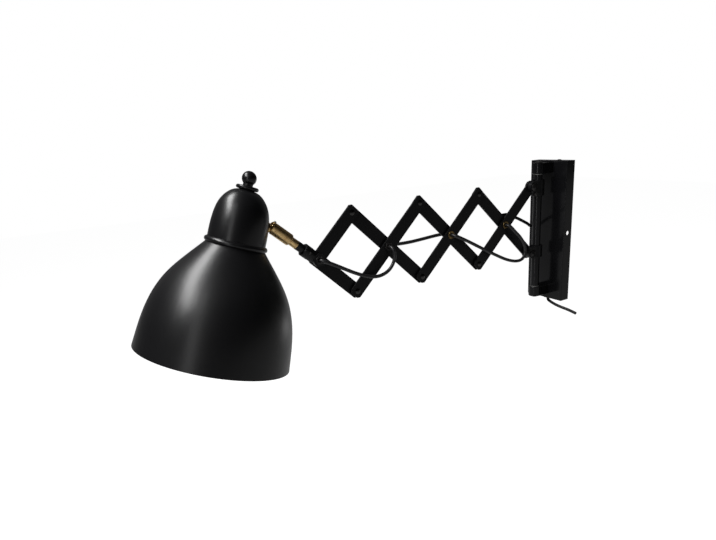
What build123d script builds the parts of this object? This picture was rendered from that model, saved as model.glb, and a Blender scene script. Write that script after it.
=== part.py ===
"""Accordion wall lamp: a bell shade on a scissor arm that swings on a rod in front of a wall box.

Origin: centre of the box's back face. The wall is the XZ plane, +Z is up and the arm reaches
along -Y. All lengths are in millimetres. The arm is modelled open, as it is used.
"""
from build123d import *
from math import atan2, cos, degrees, hypot, radians, sin, tan
import os

os.makedirs("parts", exist_ok=True)

# Clearances
RUN = 0.06            # radial, a pin in a hole that turns on it
FACE_GAP = 0.1        # axial, between faces that turn past each other
SIDE_GAP = 0.3        # beside a bar in its slot
HEAD_EDGE = 0.3       # the upright edge of a domed head, as a share of its height
THROUGH = 1           # how far a cutting tool reaches past the face it leaves

# Wall box, open at the back
BOX_WIDTH = 68
BOX_HEIGHT = 209
BOX_DEPTH = 17
BOX_WALL = 1.5
BOX_EDGE = 1.0
SIDE_HOLE_DIAMETER = 6.5
BOX_FRONT_EDGE = 0.6
STRAP_WIDTH = 32
STRAP_THICKNESS = 2
STRAP_END_GAP = 0.5
EAR_WIDTH = 8
EAR_LENGTH = 12
WALL_HOLE_DIAMETER = 5.5
WALL_HOLE_SPACING = 120
BOX_SCREW_X = 12
BOX_SCREW_DIAMETER = 4
BOX_SCREW_HEAD_DIAMETER = 7.6
BOX_SCREW_HEAD_THICKNESS = 1.4
BOX_SCREW_PAST_EAR = 1.5

# Rod and the lugs that hold it
ROD_DIAMETER = 12.5
ROD_STANDOFF = 21.5
LUG_WIDTH = 18
LUG_HEIGHT = 15
UPPER_LUG_INSET = 1.6
LOWER_LUG_INSET = 7.3
LUG_EDGE = 0.6
SPIGOT_DIAMETER = 8
SPIGOT_LENGTH = 9.5
ROD_RING_DIAMETER = 15
ROD_RING_THICKNESS = 1.5
FRAME_SCREW_DIAMETER = 5
FRAME_SCREW_LENGTH = 11
FRAME_SCREW_HEAD_DIAMETER = 11
SCREW_HEAD_THICKNESS = 2.5

# Scissor arm: pivots at the bars' ends (upper T, lower B) and crossings (C)
BAYS = 4
HALF_BAR = BOX_HEIGHT / 2.986
OPEN_ANGLE = 44
BAR_WIDTH = 17
BAR_END = 6.8         # how far a bar reaches past its end pivots
BAR_CORNER = 3        # the corners cut off a bar's ends
BAR_THICKNESS = 2.5
BAR_EDGE = 0.4
LAYER_GAP = 1.0
ARM_HEIGHT = BOX_HEIGHT / 9.457
PIVOT_OFFSET = 16.5
RIVET_DIAMETER = 5
RIVET_HEAD_DIAMETER = 7
RIVET_HEAD_HEIGHT = 1.4
WASHER_DIAMETER = 13
EYELET_DIAMETER = 7.6
EYELET_BORE = 5.6
EYELET_FLANGE_DIAMETER = 10.5
EYELET_FLANGE_THICKNESS = 0.8
CLIP_WIDTH = 16
CLIP_RISE = 15.5
CLIP_THICKNESS = 1.5
CLIP_SCREW_DIAMETER = 3
CLIP_SCREW_RISE = 12.6
CLIP_SCREW_HEAD_DIAMETER = 5.1
CLIP_SCREW_HEAD_HEIGHT = 1.4

# Collars on the rod
COLLAR_DIAMETER = 19
COLLAR_WIDTH = 18
COLLAR_HEIGHT = 17
COLLAR_BOSS_DIAMETER = 15.5
COLLAR_BACK_CHEEK = 2.5
PIVOT_SCREW_DIAMETER = 6
PIVOT_SCREW_HEAD_DIAMETER = 11
DRIVER_SLOT_WIDTH = 1.2
DRIVER_SLOT_DEPTH = 1.25
STOP_RING_HEIGHT = 6
STOP_RING_DIAMETER = 19
STOP_SCREW_DIAMETER = 4
STOP_SCREW_PROUD = 1.2
STOP_SCREW_ANGLE = 60  # from the front towards the right
STOP_RING_EDGE = 0.5

# Head: fork, stem and swivel lie on one line that rises from the last pivot
HEAD_ANGLE = 41
FORK_DIAMETER = 15.5
FORK_EDGE = 0.8
FORK_LENGTH = 22.5
FORK_SLOT_DEPTH = 12.5
FORK_SCREW_DIAMETER = 3.6
FORK_SCREW_PLACE = 15.2
FORK_SCREW_PROUD = 0.6
STEM_DIAMETER = 10.6
STEM_BORE = 8
STEM_SEAT = 3.3
STEM_END = 31.8
SWIVEL_NECK_DIAMETER = 10.2
SWIVEL_NECK_END = 41.7
SWIVEL_DIAMETER = 14
SWIVEL_END = 69.5
SWIVEL_SPIGOT_LENGTH = 7.8
SWIVEL_EDGE = 0.7
BALL_PLACE = 64
BALL_DIAMETER = 11.8
BALL_CLEARANCE = 0.1
STUD_DIAMETER = 7.2
STUD_FLANGE_DIAMETER = 12
STUD_FLANGE_THICKNESS = 0.8
STUD_INSIDE = 8
NUT_DIAMETER = 13
NUT_THICKNESS = 3
CAP_RADIUS_AT_STUD = 31
CAP_CURVE_AT_NUT = 3.4
SWIVEL_SCREW_DIAMETER = 3
SWIVEL_SCREW_PLACE = 67.5
SWIVEL_SCREW_PROUD = 1
TILT_DOWN = 15        # the stud's travel from rest, towards the arm
TILT_UP = 30          # the stud's travel from rest, away from the arm

# Shade, cap and finial, about one axis; heights count from the rim or from the neck
SHADE_TILT = 20
SHADE_WALL = 1.0
NECK_HEIGHT = 126.4
RING_BEAD = 6.2
RING_FLAT = 2.4
RING_SUNK = 0.4        # the bead's centre lies inside the cap's outer face
SHADE_HEIGHT = NECK_HEIGHT - RING_FLAT
SHADE_RADIUS = 84.7
CAP_RADIUS = 31
SHADE_STEP = 0.5       # the shade's neck is this much wider than the cap
SHADE_PROFILE = [*[(width * SHADE_RADIUS, share * SHADE_HEIGHT) for width, share in (
    (1, 0), (0.9823, 0.121), (0.9516, 0.282), (0.8902, 0.46), (0.7792, 0.637), (0.5962, 0.815))],
    (CAP_RADIUS + SHADE_STEP, SHADE_HEIGHT)]
CAP_SKIRT = 6
CAP_TOP = 58.5
CAP_PROFILE = [(width * CAP_RADIUS, share * CAP_TOP) for width, share in (
    (0.9935, 0.2735), (0.9484, 0.5128), (0.8419, 0.718), (0.6419, 0.8803), (0.329, 0.9863))]
CAP_TOP_RADIUS = 7
DISC_DIAMETER = 24
DISC_THICKNESS = 4
FINIAL_DIAMETER = 15.5
FINIAL_GAP = 0.45      # between the disc and the ball
FINIAL_HEIGHT = CAP_TOP + DISC_THICKNESS + FINIAL_DIAMETER / 2 + FINIAL_GAP
FINIAL_NECK_DIAMETER = 10.6
NIPPLE_DIAMETER = 8
NIPPLE_BORE = 5
NIPPLE_INTO_FINIAL = 5
STUD_HEIGHT = 24.4
STUD_REACH = 39.3
HOLDER_TOP = 10
HOLDER_LENGTH = 46
HOLDER_DIAMETER = 38
HOLDER_WALL = 1.5
HOLDER_CORE_LENGTH = 36
HOLDER_CORE_GAP = 0.2
HOLDER_BORE = 26.6
HOLDER_CORE_TOP = 3

# Flex and supply lead
FLEX_DIAMETER = 4.5
FLEX_CLEARANCE = 0.4
FLEX_OUTLET = 16.2
FLEX_LOOP = 14
BUSH_X = -22.5
BUSH_Z = 7
BUSH_DIAMETER = 8.5
BUSH_FLANGE_DIAMETER = 11.5
BUSH_FLANGE_THICKNESS = 1.6
BUSH_EDGE = 0.6
LEAD_Y = -8.5
TERMINAL_WIDTH = 20
TERMINAL_DEPTH = 10
TERMINAL_HEIGHT = 16
TERMINAL_EDGE = 1
TERMINAL_GAP = 5       # between the terminals and the cover's bottom
TERMINAL_SCREW_DIAMETER = 3.6
TERMINAL_SCREW_DEPTH = 3
TERMINAL_WEB = 3       # left between the two wire holes, each side of the middle
HOLDER_ENTRY = 11

# Worked out from the values above
ROD_Y = -(BOX_DEPTH + ROD_STANDOFF)
PIVOT_Y = ROD_Y - PIVOT_OFFSET
REACH = HALF_BAR * cos(radians(OPEN_ANGLE))
RISE = HALF_BAR * sin(radians(OPEN_ANGLE))
STACK = BAR_THICKNESS + LAYER_GAP / 2
BAR_END_RADIUS = hypot(BAR_END - BAR_CORNER, BAR_WIDTH / 2)
TERMINAL_Z = TERMINAL_GAP + BOX_WALL + TERMINAL_HEIGHT / 2 - BOX_HEIGHT / 2
HEAD_DIRECTION = Vector(0, -cos(radians(HEAD_ANGLE)), sin(radians(HEAD_ANGLE)))
SHADE_AXIS = Vector(0, sin(radians(SHADE_TILT)), cos(radians(SHADE_TILT)))
STUD_DIRECTION = Vector(0, -cos(radians(SHADE_TILT)), sin(radians(SHADE_TILT)))

FROM_START = (Align.CENTER, Align.CENTER, Align.MIN)


def pivot(bay, side=0):
    """(y, z) of a pivot: side 1 upper, -1 lower, 0 the crossing before that bay's end."""
    if side:
        return PIVOT_Y - 2 * REACH * (BAYS - bay), ARM_HEIGHT + side * RISE
    return PIVOT_Y - REACH - 2 * REACH * (BAYS - 1 - bay), ARM_HEIGHT


def lug_z(side):
    """Height of the upper (1) or lower (-1) lug's middle."""
    inset = UPPER_LUG_INSET if side > 0 else LOWER_LUG_INSET
    return side * (BOX_HEIGHT / 2 - inset - LUG_HEIGHT / 2)


def shoulder_z(side):
    """Height of the rod's upper (1) or lower (-1) shoulder, where its ring lies."""
    return lug_z(side) - side * (LUG_HEIGHT / 2 + ROD_RING_THICKNESS)


HEAD_PIVOT = Vector(0, *pivot(0))
BALL_CENTRE = HEAD_PIVOT + HEAD_DIRECTION * BALL_PLACE
NECK_CENTRE = BALL_CENTRE + STUD_DIRECTION * STUD_REACH - SHADE_AXIS * STUD_HEIGHT
RIM_CENTRE = NECK_CENTRE - SHADE_AXIS * NECK_HEIGHT


def rod_along(direction, origin, radius, start, end):
    """A cylinder about the line through origin along direction, from start to end on that line."""
    line = Plane(origin=tuple(origin), z_dir=tuple(direction))
    return line * Pos(0, 0, start) * Cylinder(radius, end - start, align=FROM_START)


def across(radius, start, end, point):
    """A cylinder along X from start to end, through the (y, z) point."""
    return rod_along((1, 0, 0), (0, *point), radius, start, end)


def upright(radius, start, end, x=0, y=0):
    """A cylinder along Z from start to end."""
    return rod_along((0, 0, 1), (x, y, 0), radius, start, end)


def block(x_range, y_range, z_range):
    """A box between three pairs of limits."""
    low = Vector(x_range[0], y_range[0], z_range[0])
    size = Vector(x_range[1], y_range[1], z_range[1]) - low
    return Pos(*low) * Box(size.X, size.Y, size.Z, align=(Align.MIN, Align.MIN, Align.MIN))


def turned(points, place):
    """A solid of revolution about the place's Z, from (radius, height) corners."""
    face = Plane.XZ * make_face(Polyline(*points, close=True))
    return place * revolve(face, Axis.Z)


def domed_head(direction, origin, diameter, height, start):
    """A low domed rivet or screw head that stands on start and rises along direction."""
    radius = diameter / 2
    crown = height * (1 - HEAD_EDGE)
    sphere = (radius ** 2 + crown ** 2) / (2 * crown)
    dome = Cylinder(radius, height, align=FROM_START) & Pos(0, 0, height - sphere) * Sphere(sphere)
    return Plane(origin=tuple(origin), z_dir=tuple(direction)) * Pos(0, 0, start) * dome


def dressed_tube(points, diameter):
    """A tube along straight runs and tangent arcs; each arc is as large as its runs allow."""
    corners = [Vector(*point) for point in points]
    radii = []
    for before, corner, after in zip(corners, corners[1:], corners[2:]):
        turn = radians((corner - before).get_angle(after - corner))
        radii.append(0.45 * min((corner - before).length, (after - corner).length) / tan(turn / 2))
    path = FilletPolyline(*corners, radius=radii)
    section = Plane(origin=path @ 0, z_dir=path % 0) * Circle(diameter / 2)
    tube = sweep(section, path=path)
    expected = section.area * path.length
    print(f"tube {path.length:7.1f} mm, volume ratio {tube.volume / expected:.4f}, radii",
          " ".join(f"{radius:.1f}" for radius in radii))
    return tube


def on_head_line(x, place):
    """A point of the head's line, moved aside by x."""
    return HEAD_PIVOT + HEAD_DIRECTION * place + Vector(x, 0, 0)


PARTS = {}


def keep(name, shape):
    """Record one node; a list of shapes becomes one node of separate solids."""
    shapes = shape if isinstance(shape, list) else [shape]
    solids = [solid for piece in shapes for solid in piece.solids()]
    PARTS[name] = solids[0] if len(solids) == 1 else Compound(children=solids)


# ---------------------------------------------------------------- wall end

def wall_box():
    """Sheet-metal cover: front, four sides and the holes for what passes through."""
    half_w, half_h = BOX_WIDTH / 2, BOX_HEIGHT / 2
    shell = block((-half_w, half_w), (-BOX_DEPTH, 0), (-half_h, half_h))
    shell = fillet(shell.edges().filter_by(Axis.Z), BOX_EDGE)
    shell = fillet(shell.faces().sort_by(Axis.Y)[0].edges(), BOX_FRONT_EDGE)
    inside_w, inside_h = half_w - BOX_WALL, half_h - BOX_WALL
    shell -= block((-inside_w, inside_w), (-BOX_DEPTH + BOX_WALL, 1), (-inside_h, inside_h))
    shell -= across(SIDE_HOLE_DIAMETER / 2, -half_w - 1, half_w + 1, (-BOX_DEPTH / 2, 0))
    front = (0, -1, 0)
    for side in (-1, 1):
        shell -= rod_along(front, (0, 0, lug_z(side)), FRAME_SCREW_DIAMETER / 2, 0, BOX_DEPTH + 1)
        shell -= upright(BOX_SCREW_DIAMETER / 2, *sorted((side * (inside_h - 1), side * (half_h + 1))),
                         BOX_SCREW_X, LEAD_Y)
    shell -= rod_along(front, (BUSH_X, 0, BUSH_Z), BUSH_DIAMETER / 2, 0, BOX_DEPTH + 1)
    shell -= upright(BUSH_DIAMETER / 2, -half_h - 1, -inside_h + 1, 0, LEAD_Y)
    return shell


def wall_strap():
    """Flat strap on the wall with two wall holes and an ear at each end for the cover's screws."""
    half = BOX_HEIGHT / 2 - BOX_WALL - STRAP_END_GAP
    strap = block((-STRAP_WIDTH / 2, STRAP_WIDTH / 2), (-STRAP_THICKNESS, 0), (-half, half))
    ear_x = (BOX_SCREW_X - EAR_WIDTH / 2, BOX_SCREW_X + EAR_WIDTH / 2)
    for side in (-1, 1):
        span = sorted((side * half, side * (half - STRAP_THICKNESS)))
        strap += block(ear_x, (-EAR_LENGTH, 0), span)
        strap -= rod_along((0, -1, 0), (0, 0, side * WALL_HOLE_SPACING / 2), WALL_HOLE_DIAMETER / 2, -1,
                           STRAP_THICKNESS + 1)
        strap -= upright(BOX_SCREW_DIAMETER / 2, span[0] - 1, span[1] + 1, BOX_SCREW_X, LEAD_Y)
    return strap


def box_screws():
    """The cover's screws, one through its top and one through its bottom into the strap's ears."""
    screws = []
    face = BOX_HEIGHT / 2
    depth = BOX_WALL + STRAP_END_GAP + STRAP_THICKNESS + BOX_SCREW_PAST_EAR
    for side in (-1, 1):
        origin = (BOX_SCREW_X, LEAD_Y, side * face)
        shank = rod_along((0, 0, side), origin, BOX_SCREW_DIAMETER / 2, -depth, 0)
        screws.append(shank + domed_head((0, 0, side), origin, BOX_SCREW_HEAD_DIAMETER,
                                         BOX_SCREW_HEAD_THICKNESS, 0))
    return screws


def rod_lug(side):
    """Block on the cover's front with a rounded nose that holds one end of the rod."""
    span = (lug_z(side) - LUG_HEIGHT / 2, lug_z(side) + LUG_HEIGHT / 2)
    lug = block((-LUG_WIDTH / 2, LUG_WIDTH / 2), (ROD_Y, -BOX_DEPTH), span)
    lug += upright(LUG_WIDTH / 2, *span, 0, ROD_Y)
    ends = lug.faces().sort_by(Axis.Z)
    lug = chamfer(ends[0].edges() + ends[-1].edges(), LUG_EDGE)
    lug -= upright(SPIGOT_DIAMETER / 2 + RUN, span[0] - 1, span[1] + 1, 0, ROD_Y)
    return lug - rod_along((0, -1, 0), (0, 0, lug_z(side)), FRAME_SCREW_DIAMETER / 2, BOX_DEPTH - 1,
                           BOX_DEPTH - BOX_WALL + FRAME_SCREW_LENGTH)


def rod():
    """The upright rod, with a thinner spigot at each end and a threaded hole in it."""
    low, high = (shoulder_z(side) + side * (ROD_RING_THICKNESS + SPIGOT_LENGTH) for side in (-1, 1))
    bar = upright(SPIGOT_DIAMETER / 2, low, high, 0, ROD_Y)
    bar += upright(ROD_DIAMETER / 2, shoulder_z(-1), shoulder_z(1), 0, ROD_Y)
    for side, end in ((-1, low), (1, high)):
        bottom = lug_z(side) + side * (LUG_HEIGHT / 2 - FRAME_SCREW_LENGTH)
        bar -= upright(FRAME_SCREW_DIAMETER / 2, *sorted((bottom, end + side)), 0, ROD_Y)
    return bar


def rod_rings():
    """Bright rings between the rod's shoulders and its lugs."""
    rings = []
    for side in (-1, 1):
        span = sorted((shoulder_z(side), shoulder_z(side) + side * ROD_RING_THICKNESS))
        ring = upright(ROD_RING_DIAMETER / 2, *span, 0, ROD_Y)
        rings.append(ring - upright(SPIGOT_DIAMETER / 2 + RUN, span[0] - 1, span[1] + 1, 0, ROD_Y))
    return rings


def frame_screw(direction, seat):
    """Screw whose head stands on the seat; its shank runs against the direction."""
    shank = rod_along(direction, seat, FRAME_SCREW_DIAMETER / 2, -FRAME_SCREW_LENGTH, 0)
    return shank + domed_head(direction, seat, FRAME_SCREW_HEAD_DIAMETER, SCREW_HEAD_THICKNESS, 0)


def frame_screws():
    """Two screws from inside the cover into the lugs, and two that pull the rod's ends in."""
    screws = []
    for side in (-1, 1):
        screws.append(frame_screw((0, 1, 0), (0, -BOX_DEPTH + BOX_WALL, lug_z(side))))
        screws.append(frame_screw((0, 0, side), (0, ROD_Y, lug_z(side) + side * LUG_HEIGHT / 2)))
    return screws


def stop_ring():
    """Ring fixed on the rod; the upper collar turns on it."""
    top = pivot(BAYS, 1)[1] - COLLAR_HEIGHT / 2 - FACE_GAP
    ring = upright(STOP_RING_DIAMETER / 2, top - STOP_RING_HEIGHT, top, 0, ROD_Y)
    ring = chamfer(ring.edges(), STOP_RING_EDGE)
    ring -= upright(ROD_DIAMETER / 2, top - STOP_RING_HEIGHT - 1, top + 1, 0, ROD_Y)
    return ring - stop_ring_screw()


def stop_ring_screw():
    """Set screw that grips the rod through the stop ring, on the ring's front right."""
    middle = pivot(BAYS, 1)[1] - COLLAR_HEIGHT / 2 - FACE_GAP - STOP_RING_HEIGHT / 2
    outward = Vector(cos(radians(STOP_SCREW_ANGLE)), -sin(radians(STOP_SCREW_ANGLE)), 0)
    start = ROD_DIAMETER / 2 + FACE_GAP
    return rod_along(outward, (0, ROD_Y, middle), STOP_SCREW_DIAMETER / 2, start,
                     STOP_RING_DIAMETER / 2 + STOP_SCREW_PROUD)


def cord_bush(direction, origin):
    """Bush with a flange on each side of the box's wall, for the flex or the lead."""
    radius, flange = BUSH_DIAMETER / 2, BUSH_FLANGE_DIAMETER / 2
    bush = rod_along(direction, origin, radius, -BOX_WALL - BUSH_FLANGE_THICKNESS / 2, 0)
    bush += rod_along(direction, origin, flange, 0, BUSH_FLANGE_THICKNESS)
    bush = fillet(bush.faces().sort_by(Axis((0, 0, 0), tuple(direction)))[-1].edges(), BUSH_EDGE)
    bush += rod_along(direction, origin, flange, -BOX_WALL - BUSH_FLANGE_THICKNESS / 2, -BOX_WALL)
    bore = FLEX_DIAMETER / 2 + FLEX_CLEARANCE / 2
    return bush - rod_along(direction, origin, bore, -BOX_DEPTH, BOX_DEPTH)


def terminal_block():
    """Connector that joins the flex to the supply lead, seated on the strap."""
    half_w, half_h = TERMINAL_WIDTH / 2, TERMINAL_HEIGHT / 2
    y_range = (-STRAP_THICKNESS - TERMINAL_DEPTH, -STRAP_THICKNESS)
    body = block((-half_w, half_w), y_range, (TERMINAL_Z - half_h, TERMINAL_Z + half_h))
    body = fillet(body.faces().sort_by(Axis.Y)[0].edges(), TERMINAL_EDGE)
    for side in (-1, 1):
        span = sorted((TERMINAL_Z + side * TERMINAL_WEB, TERMINAL_Z + side * (half_h + 1)))
        body -= upright(FLEX_DIAMETER / 2 + FLEX_CLEARANCE / 2, *span, 0, LEAD_Y)
    for x in (-half_w / 2, half_w / 2):
        body -= rod_along((0, -1, 0), (x, y_range[0], TERMINAL_Z), TERMINAL_SCREW_DIAMETER / 2,
                          -TERMINAL_SCREW_DEPTH, THROUGH)
    return body


# ---------------------------------------------------------------- scissor arm

def flat_bar(start, end, layer, holes):
    """A flat bar with its corners cut off, in the front (1) or rear (-1) layer.

    It is drilled at each (point, radius) of the holes.
    """
    length = hypot(end[0] - start[0], end[1] - start[1])
    middle = ((start[0] + end[0]) / 2, (start[1] + end[1]) / 2)
    near = LAYER_GAP / 2 if layer > 0 else -STACK
    place = Plane(origin=(near, *middle), x_dir=(0, end[0] - start[0], end[1] - start[1]), z_dir=(1, 0, 0))
    outline = Rectangle(length + 2 * BAR_END, BAR_WIDTH)
    outline = chamfer(outline.vertices(), BAR_CORNER)
    plate = extrude(place * outline, amount=BAR_THICKNESS)
    faces = plate.faces().sort_by(Axis.X)
    plate = chamfer(faces[0].edges() + faces[-1].edges(), BAR_EDGE)
    for point, radius in holes:
        plate -= across(radius + RUN, -STACK - 1, STACK + 1, point)
    return plate


def full_bar(bay, layer):
    """Front bars rise from the lower pivot of this bay to the upper pivot of the next."""
    start, end = pivot(bay, -layer), pivot(bay + 1, layer)
    end_radius = (PIVOT_SCREW_DIAMETER if bay + 1 == BAYS else RIVET_DIAMETER) / 2
    holes = [(start, RIVET_DIAMETER / 2), (pivot(bay), EYELET_DIAMETER / 2), (end, end_radius)]
    return flat_bar(start, end, layer, holes)


def half_bar(layer):
    """The short bars between the head's pivot and the first upper or lower pivot."""
    start, end = pivot(0), pivot(1, layer)
    return flat_bar(start, end, layer, [(start, EYELET_DIAMETER / 2), (end, RIVET_DIAMETER / 2)])


def rivet(point):
    """Rivet through both layers, with a domed head at each end."""
    front, back = STACK, -STACK - FACE_GAP
    origin = (0, *point)
    pin = across(RIVET_DIAMETER / 2, back, front, point)
    pin += domed_head((1, 0, 0), origin, RIVET_HEAD_DIAMETER, RIVET_HEAD_HEIGHT, front)
    return pin + domed_head((-1, 0, 0), origin, RIVET_HEAD_DIAMETER, RIVET_HEAD_HEIGHT, -back)


def washer(point, bore):
    """Spacer between the two layers of bars."""
    half = LAYER_GAP / 2 - FACE_GAP / 2
    ring = across(WASHER_DIAMETER / 2, -half, half, point)
    return ring - across(bore / 2 + RUN, -half - 1, half + 1, point)


def eyelet(point, front, back):
    """Hollow rivet with a rounded flange at each end; the flex is threaded through it."""
    radius, flange = EYELET_DIAMETER / 2, EYELET_FLANGE_DIAMETER / 2
    tube = across(radius, back, front, point)
    for start, end, outer in ((front, front + EYELET_FLANGE_THICKNESS, -1),
                              (back - EYELET_FLANGE_THICKNESS, back, 0)):
        ring = across(flange, start, end, point)
        ring = fillet(ring.faces().sort_by(Axis.X)[outer].edges(), EYELET_FLANGE_THICKNESS * 0.6)
        tube += ring
    return tube - across(EYELET_BORE / 2, back - 2, front + 2, point)


def cord_clip():
    """Tab behind the last crossing that keeps the flex off the bars."""
    y, z = pivot(BAYS - 1)
    front = -STACK - FACE_GAP
    half = CLIP_WIDTH / 2
    tab = across(half, front - CLIP_THICKNESS, front, (y, z))
    tab += block((front - CLIP_THICKNESS, front), (y - half, y + half), (z, z + CLIP_RISE))
    tab -= across(EYELET_DIAMETER / 2, front - CLIP_THICKNESS - 1, front + 1, (y, z))
    return tab - across(CLIP_SCREW_DIAMETER / 2, front - CLIP_THICKNESS - 1, front + 1,
                        (y, z + CLIP_SCREW_RISE))


def cord_clip_screw():
    """Small bright screw in the clip, its head behind and its tip flush with the front."""
    y, z = pivot(BAYS - 1)
    point = (y, z + CLIP_SCREW_RISE)
    back = STACK + FACE_GAP + CLIP_THICKNESS
    shank = across(CLIP_SCREW_DIAMETER / 2, -back, -STACK - FACE_GAP, point)
    return shank + domed_head((-1, 0, 0), (0, *point), CLIP_SCREW_HEAD_DIAMETER,
                              CLIP_SCREW_HEAD_HEIGHT, back)


def collar_slot(side):
    """The slot's two X limits, round the bar's layer."""
    return sorted((side * (LAYER_GAP / 2 - SIDE_GAP), side * (STACK + SIDE_GAP)))


def collar_back(side):
    """X of the rear cheek's outer face."""
    return collar_slot(side)[0] - COLLAR_BACK_CHEEK


def rod_collar(side):
    """Clevis on the rod: upper (1) takes a front bar, lower (-1) a rear bar."""
    y, z = pivot(BAYS, side)
    back, front = collar_back(side), COLLAR_WIDTH / 2
    radius, half_h = COLLAR_BOSS_DIAMETER / 2, COLLAR_HEIGHT / 2
    span = (z - half_h, z + half_h)
    body = block((back, front), (y, ROD_Y), (z - radius, z + radius)) + across(radius, back, front, (y, z))
    body += upright(COLLAR_DIAMETER / 2, *span, 0, ROD_Y)
    body -= upright(ROD_DIAMETER / 2 + RUN, span[0] - 1, span[1] + 1, 0, ROD_Y)
    slot_end = y + BAR_END_RADIUS + SIDE_GAP
    body -= block(collar_slot(side), (y - radius - 1, slot_end), (span[0] - 1, span[1] + 1))
    return body - across(PIVOT_SCREW_DIAMETER / 2, back - 1, front + 1, (y, z))


def pivot_screw(side):
    """Shouldered screw through a collar's clevis, its slotted head to the front."""
    point = pivot(BAYS, side)
    half_w = COLLAR_WIDTH / 2
    screw = across(PIVOT_SCREW_DIAMETER / 2, collar_back(side), half_w, point)
    screw += domed_head((1, 0, 0), (0, *point), PIVOT_SCREW_HEAD_DIAMETER, SCREW_HEAD_THICKNESS, half_w)
    y, z = point
    top = half_w + SCREW_HEAD_THICKNESS
    slot = block((top - DRIVER_SLOT_DEPTH, top + 1),
                 (y - PIVOT_SCREW_HEAD_DIAMETER, y + PIVOT_SCREW_HEAD_DIAMETER),
                 (z - DRIVER_SLOT_WIDTH / 2, z + DRIVER_SLOT_WIDTH / 2))
    return screw - slot


# ---------------------------------------------------------------- head

def head_flex_route():
    """From the head's eyelet round the back of the fork and up the stem to the ball."""
    return [on_head_line(0, 0), on_head_line(-FLEX_LOOP, 0), on_head_line(-FLEX_LOOP, FLEX_OUTLET),
            on_head_line(0, FLEX_OUTLET), on_head_line(0, BALL_PLACE - BALL_DIAMETER / 2 - 1)]


def head_fork():
    """Sleeve whose forked end straddles both half bars; the flex leaves through its back."""
    radius = FORK_DIAMETER / 2
    sleeve = rod_along(HEAD_DIRECTION, HEAD_PIVOT, radius, 0, FORK_LENGTH)
    sleeve = chamfer(sleeve.edges().filter_by(GeomType.CIRCLE).sort_by(Axis.Z)[-1], FORK_EDGE)
    sleeve += across(radius, -radius, radius, (HEAD_PIVOT.Y, HEAD_PIVOT.Z))
    half = STACK + SIDE_GAP
    place = Plane(origin=tuple(HEAD_PIVOT), x_dir=(1, 0, 0), z_dir=tuple(HEAD_DIRECTION))
    slot_length = FORK_SLOT_DEPTH + radius + 1
    sleeve -= place * Pos(0, 0, FORK_SLOT_DEPTH) * Box(2 * half, 4 * radius, slot_length,
                                                       align=(Align.CENTER, Align.CENTER, Align.MAX))
    sleeve -= across(EYELET_DIAMETER / 2, -radius - 1, radius + 1, (HEAD_PIVOT.Y, HEAD_PIVOT.Z))
    sleeve -= rod_along(HEAD_DIRECTION, HEAD_PIVOT, STEM_DIAMETER / 2, FORK_LENGTH - STEM_SEAT,
                        FORK_LENGTH + 1)
    sleeve -= dressed_tube(head_flex_route(), FLEX_DIAMETER + FLEX_CLEARANCE)
    return sleeve - fork_screw()


def fork_screw():
    """Small screw on the fork's front that clamps the flex."""
    radius = FORK_DIAMETER / 2
    place = on_head_line(0, FORK_SCREW_PLACE)
    depth = FLEX_DIAMETER / 2 + FLEX_CLEARANCE / 2
    return across(FORK_SCREW_DIAMETER / 2, depth, radius + FORK_SCREW_PROUD, (place.Y, place.Z))


def stem_tube():
    """Narrow tube between the fork and the swivel."""
    tube = rod_along(HEAD_DIRECTION, HEAD_PIVOT, STEM_DIAMETER / 2, FORK_LENGTH - STEM_SEAT, STEM_END)
    return tube - rod_along(HEAD_DIRECTION, HEAD_PIVOT, STEM_BORE / 2, 0, STEM_END + 1)


def stud_sweep(low, high):
    """Space that the stud sweeps in the swivel's mouth, between two angles from the head's line."""
    half = STUD_DIAMETER / 2 + 4 * BALL_CLEARANCE
    reach = SWIVEL_DIAMETER
    shapes = []
    for angle in (low, high):
        turn = HEAD_ANGLE - angle
        direction = Vector(0, -cos(radians(turn)), sin(radians(turn)))
        place = Plane(origin=tuple(BALL_CENTRE), x_dir=(1, 0, 0), z_dir=tuple(direction))
        shapes.append(place * Box(2 * half, 2 * half, reach, align=FROM_START))
    corners = [Vector(0, 0, 0)]
    for angle in (low, (low + high) / 2, high):
        turn = radians(HEAD_ANGLE - angle)
        corners.append(Vector(0, -cos(turn), sin(turn)) * reach)
    points = [tuple(BALL_CENTRE + corner) for corner in corners]
    face = make_face(Polyline(*points, close=True))
    wedge = extrude(face, amount=half, dir=(1, 0, 0), both=True)
    return shapes[0] + shapes[1] + wedge


def swivel_body():
    """Turned brass body: spigot in the stem, neck, and a socket for the ball with a slotted mouth."""
    line = Plane(origin=tuple(HEAD_PIVOT), x_dir=(1, 0, 0), z_dir=tuple(HEAD_DIRECTION))
    spigot = STEM_BORE / 2 - RUN
    neck, barrel = SWIVEL_NECK_DIAMETER / 2, SWIVEL_DIAMETER / 2
    start = STEM_END + FACE_GAP
    edge = SWIVEL_EDGE
    profile = [(0, start - SWIVEL_SPIGOT_LENGTH), (spigot, start - SWIVEL_SPIGOT_LENGTH), (spigot, start),
               (neck, start), (neck, SWIVEL_NECK_END), (barrel - edge, SWIVEL_NECK_END),
               (barrel, SWIVEL_NECK_END + edge), (barrel, SWIVEL_END - edge), (barrel - edge, SWIVEL_END),
               (0, SWIVEL_END)]
    body = turned(profile, line)
    body -= Pos(*BALL_CENTRE) * Sphere(BALL_DIAMETER / 2 + BALL_CLEARANCE)
    body -= rod_along(HEAD_DIRECTION, HEAD_PIVOT, FLEX_DIAMETER / 2 + FLEX_CLEARANCE / 2,
                      start - SWIVEL_SPIGOT_LENGTH - 1, BALL_PLACE)
    rest = HEAD_ANGLE - SHADE_TILT
    return body - stud_sweep(rest - TILT_UP, rest + TILT_DOWN) - swivel_screw()


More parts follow.
